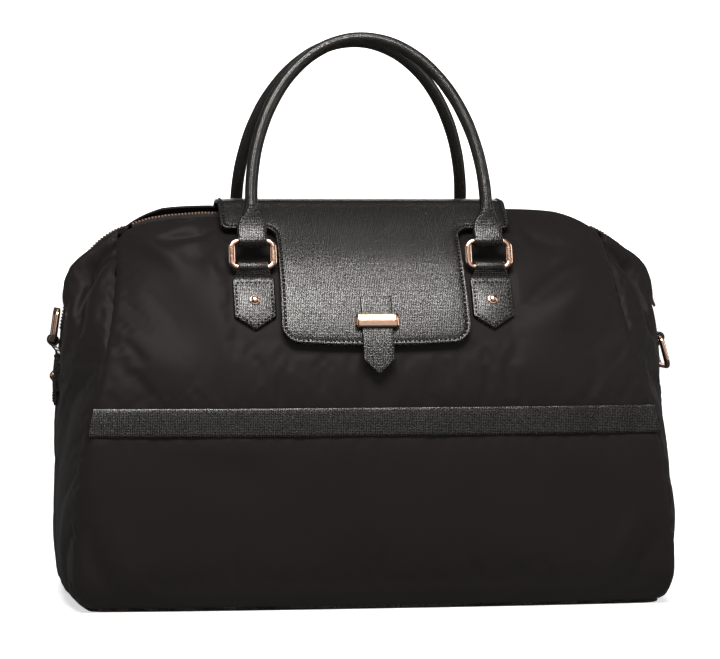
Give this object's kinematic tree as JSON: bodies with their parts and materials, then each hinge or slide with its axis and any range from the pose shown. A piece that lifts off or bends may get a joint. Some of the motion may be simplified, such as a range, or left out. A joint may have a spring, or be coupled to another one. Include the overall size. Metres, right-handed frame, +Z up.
{
  "type": "weekender bag",
  "caption": "Soft weekender bag with a leather flap over its zipped mouth, two rolled handles on rings, and a ring at each end for a strap.",
  "frame": {"origin": "middle of the base, on the surface that the bag stands on", "axes": "+X to the right of a person facing the bag's front, -Y out of the front, +Z up"},
  "size_m": [0.5102, 0.2422, 0.4561],
  "materials": {
    "nylon": "satin black twill-coated nylon",
    "leather": "black leather with a fine crosshatch print",
    "rose_gold": "polished rose gold plating",
    "zip_tape": "woven black tape",
    "lining": "matt charcoal lining cloth",
    "board": "plain stiffening board",
    "rope": "twisted filler rope"
  },
  "bodies": {
    "bag": {"front_lower_panel": "nylon", "front_band": "leather", "back_lower_panel": "nylon", "back_upper_panel": "nylon", "back_band": "leather", "gusset_left": "nylon", "gusset_right": "nylon", "base_panel": "leather", "base_board": "board", "lining": "lining", "zip_tape_back": "zip_tape", "zip_teeth_back": "rose_gold", "zip_end_left": "zip_tape", "zip_end_right": "zip_tape", "back_chape_left": "leather", "back_chape_right": "leather", "back_rivet_left": "rose_gold", "back_rivet_right": "rose_gold", "side_chape_left": "leather", "side_chape_right": "leather", "side_rivet_left": "rose_gold", "side_rivet_right": "rose_gold"},
    "mouth_front": {"front_upper_panel": "nylon", "mouth_front_lining": "lining", "zip_tape_front": "zip_tape", "zip_teeth_front": "rose_gold", "front_chape_left": "leather", "front_chape_right": "leather", "front_rivet_left": "rose_gold", "front_rivet_right": "rose_gold", "snap_socket": "rose_gold"},
    "flap": {"flap_leather": "leather", "flap_strap": "leather", "flap_keeper": "rose_gold", "snap_stud": "rose_gold"},
    "front_ring_l": {"front_ring_left": "rose_gold"},
    "front_ring_r": {"front_ring_right": "rose_gold"},
    "front_handle": {"front_handle_roll": "leather", "front_handle_core": "rope", "front_handle_tab_left": "leather", "front_handle_tab_right": "leather"},
    "back_ring_l": {"back_ring_left": "rose_gold"},
    "back_ring_r": {"back_ring_right": "rose_gold"},
    "back_handle": {"back_handle_roll": "leather", "back_handle_core": "rope", "back_handle_tab_left": "leather", "back_handle_tab_right": "leather"},
    "side_ring_l": {"side_ring_left": "rose_gold"},
    "side_ring_r": {"side_ring_right": "rose_gold"},
    "slider": {"zip_slider": "rose_gold"},
    "pull": {"zip_pull": "rose_gold"}
  },
  "joints": [
    {"name": "flap_open", "type": "hinge", "parent": "bag", "child": "flap", "pos_m": [0, 0.0385, 0.2965], "axis": [-1, 0, 0], "range_deg": [0, 68]},
    {"name": "mouth_front_open", "type": "hinge", "parent": "bag", "child": "mouth_front", "pos_m": [0, -0.117, 0.1585], "axis": [1, 0, 0], "range_deg": [0, 23.8]},
    {"name": "front_ring_left_swing", "type": "hinge", "parent": "mouth_front", "child": "front_ring_l", "pos_m": [-0.0945, -0.07633, 0.2673], "axis": [1, 0, 0], "range_deg": [0, 95]},
    {"name": "front_ring_right_swing", "type": "hinge", "parent": "mouth_front", "child": "front_ring_r", "pos_m": [0.0945, -0.07633, 0.2673], "axis": [1, 0, 0], "range_deg": [0, 95]},
    {"name": "front_handle_swing", "type": "hinge", "parent": "front_ring_l", "child": "front_handle", "pos_m": [-0.0945, -0.06972, 0.28765], "axis": [1, 0, 0], "range_deg": [0, 55]},
    {"name": "back_ring_left_swing", "type": "hinge", "parent": "bag", "child": "back_ring_l", "pos_m": [-0.0945, 0.07633, 0.2673], "axis": [-1, 0, 0], "range_deg": [0, 95]},
    {"name": "back_ring_right_swing", "type": "hinge", "parent": "bag", "child": "back_ring_r", "pos_m": [0.0945, 0.07633, 0.2673], "axis": [-1, 0, 0], "range_deg": [0, 95]},
    {"name": "back_handle_swing", "type": "hinge", "parent": "back_ring_l", "child": "back_handle", "pos_m": [-0.0945, 0.06972, 0.28765], "axis": [-1, 0, 0], "range_deg": [0, 55]},
    {"name": "side_ring_left_swing", "type": "hinge", "parent": "bag", "child": "side_ring_l", "pos_m": [-0.2485, 0, 0.20814], "axis": [0, -1, 0], "range_deg": [0, 170]},
    {"name": "side_ring_right_swing", "type": "hinge", "parent": "bag", "child": "side_ring_r", "pos_m": [0.2485, 0, 0.20814], "axis": [0, -1, 0], "range_deg": [0, 158]},
    {"name": "zip_slider_travel", "type": "slide", "parent": "bag", "child": "slider", "axis": [-0.3387, 0, 0.9409], "range_m": [0, 0.02]},
    {"name": "zip_pull_swing", "type": "hinge", "parent": "slider", "child": "pull", "pos_m": [0.24235, 0, 0.2463], "axis": [0, -1, 0], "range_deg": [0, 120]}
  ],
  "couplings": [
    {"joint": "mouth_front_open", "follows": "flap_open", "ratio": 0.35},
    {"joint": "front_ring_right_swing", "follows": "front_ring_left_swing", "ratio": 1},
    {"joint": "back_ring_right_swing", "follows": "back_ring_left_swing", "ratio": 1}
  ]
}
